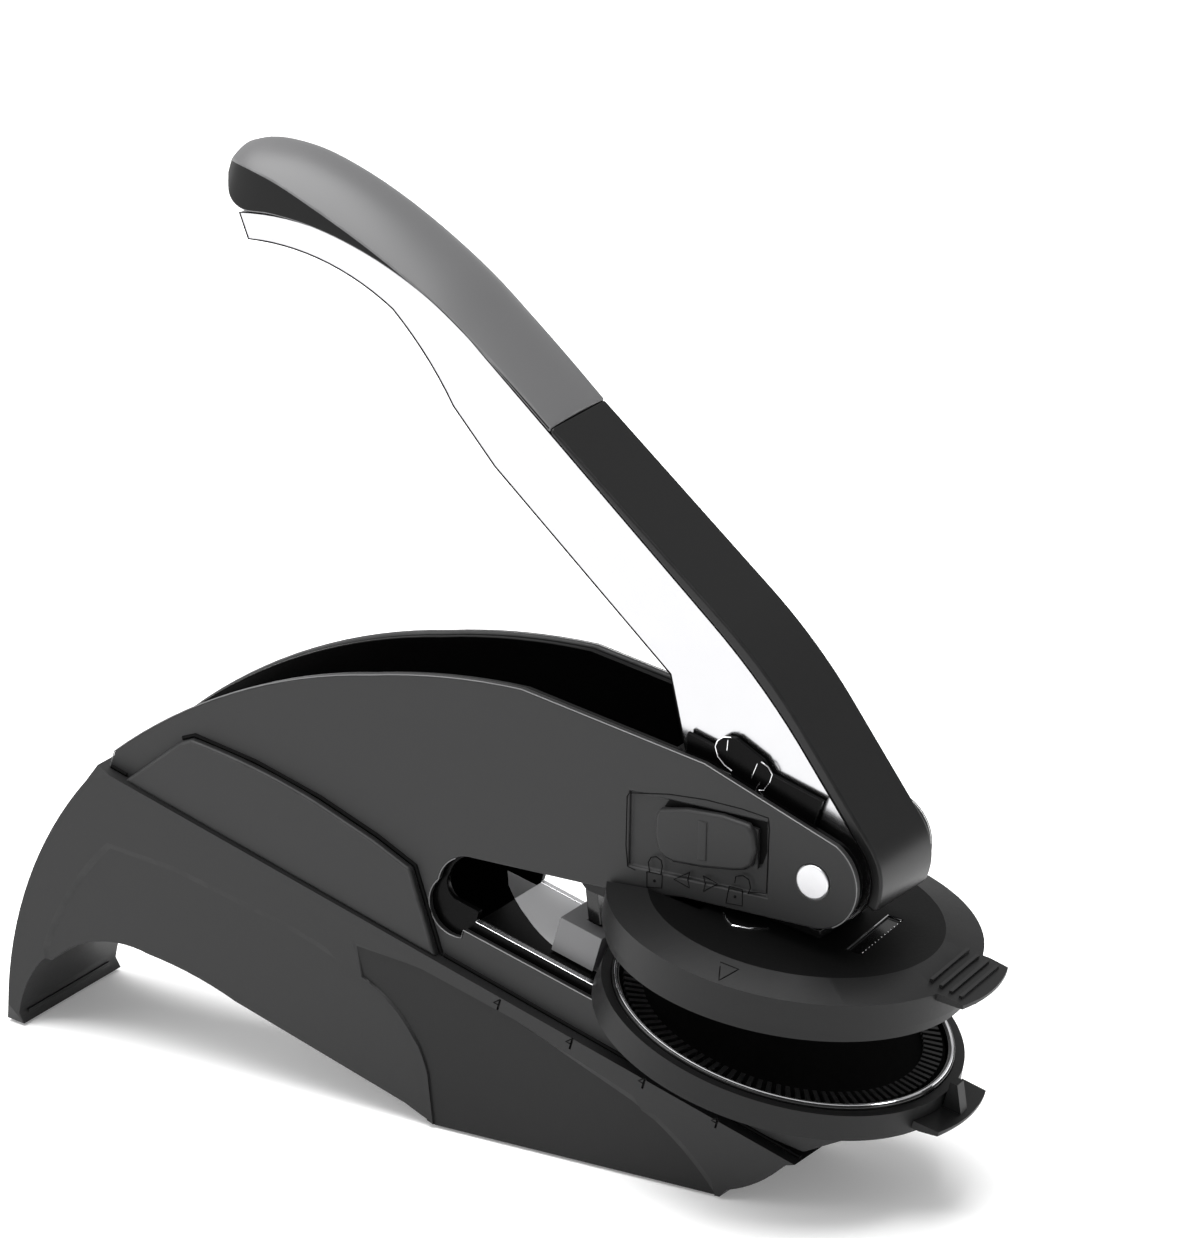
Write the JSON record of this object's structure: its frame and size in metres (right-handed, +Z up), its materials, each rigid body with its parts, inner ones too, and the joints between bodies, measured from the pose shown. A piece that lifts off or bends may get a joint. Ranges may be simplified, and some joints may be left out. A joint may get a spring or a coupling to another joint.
{
  "type": "seal embosser",
  "caption": "Desk seal embosser: black arched base, side plates, chrome lever with a dark grip and a round die insert held open under the cam.",
  "frame": {"origin": "centre of the bounding box on the desk, under the press", "axes": "+X towards the dies, which slope down that way; +Z up from the desk"},
  "size_m": [0.1581, 0.0548, 0.141],
  "materials": {
    "black_plastic": "satin moulded",
    "grip_plastic": "satin, soft grey",
    "die_plastic": "fine matte",
    "grey_plastic": "matte",
    "black_steel": "gloss black",
    "steel": "bright, lightly brushed",
    "spring_steel": "drawn wire",
    "chrome": "polished",
    "rubber": "matte"
  },
  "bodies": {
    "frame": {"base_shell": "black_plastic", "front_foot_pad": "rubber", "rear_foot_pad": "rubber", "near_frame_plate": "black_steel", "far_frame_plate": "black_steel", "near_side_cover": "black_plastic", "far_side_cover": "black_plastic", "near_name_panel": "black_plastic", "far_name_panel": "black_plastic", "frame_spacers": "steel", "frame_rivets": "steel", "die_deck": "black_steel", "pivot_pin": "steel", "pin_washers": "grey_plastic", "spring_seat": "black_steel", "return_spring": "spring_steel"},
    "lever": {"lever_channel": "chrome", "lever_cover": "black_plastic", "lever_grip": "grip_plastic", "lever_bush": "grey_plastic"},
    "plunger": {"press_block": "black_plastic", "press_shoe": "steel"},
    "insert": {"lower_holder": "black_plastic", "lower_tab": "black_plastic", "strap_guide": "black_plastic", "lower_ring": "chrome", "lower_die": "die_plastic"},
    "strap": {"insert_strap": "black_steel", "insert_pin": "steel"},
    "upper": {"upper_holder": "black_plastic", "upper_cap": "black_plastic", "upper_die": "die_plastic"},
    "lock": {"lock_button": "black_plastic", "latch_bar": "black_steel"}
  },
  "joints": [
    {"name": "lever_pivot", "type": "hinge", "parent": "frame", "child": "lever", "pos_m": [0.05676, 0, 0.05118], "axis": [0, -1, 0], "range_deg": [0, 38], "stiffness_Nm_per_rad": 0.25, "springref_deg": -20.05},
    {"name": "plunger_slide", "type": "slide", "parent": "frame", "child": "plunger", "axis": [0, 0, -1], "range_m": [0, 0.0083], "deforming": ["return_spring"]},
    {"name": "insert_slide", "type": "slide", "parent": "frame", "child": "insert", "axis": [0.9641, 0, -0.2656], "range_m": [0, 0.05]},
    {"name": "strap_slide", "type": "slide", "parent": "insert", "child": "strap", "axis": [0.1284, 0, -0.9917], "range_m": [0, 0.00508]},
    {"name": "upper_tilt", "type": "hinge", "parent": "strap", "child": "upper", "pos_m": [0.01837, 0, 0.04197], "axis": [0, 1, 0], "range_deg": [0, 6.5]},
    {"name": "lock_slide", "type": "slide", "parent": "frame", "child": "lock", "axis": [-1, 0, 0], "range_m": [0, 0.004]}
  ],
  "couplings": [
    {"joint": "plunger_slide", "follows": "lever_pivot", "m_per_rad": 0.012515},
    {"joint": "strap_slide", "follows": "lever_pivot", "m_per_rad": 0.007653},
    {"joint": "upper_tilt", "follows": "lever_pivot", "ratio": 0.17105}
  ]
}
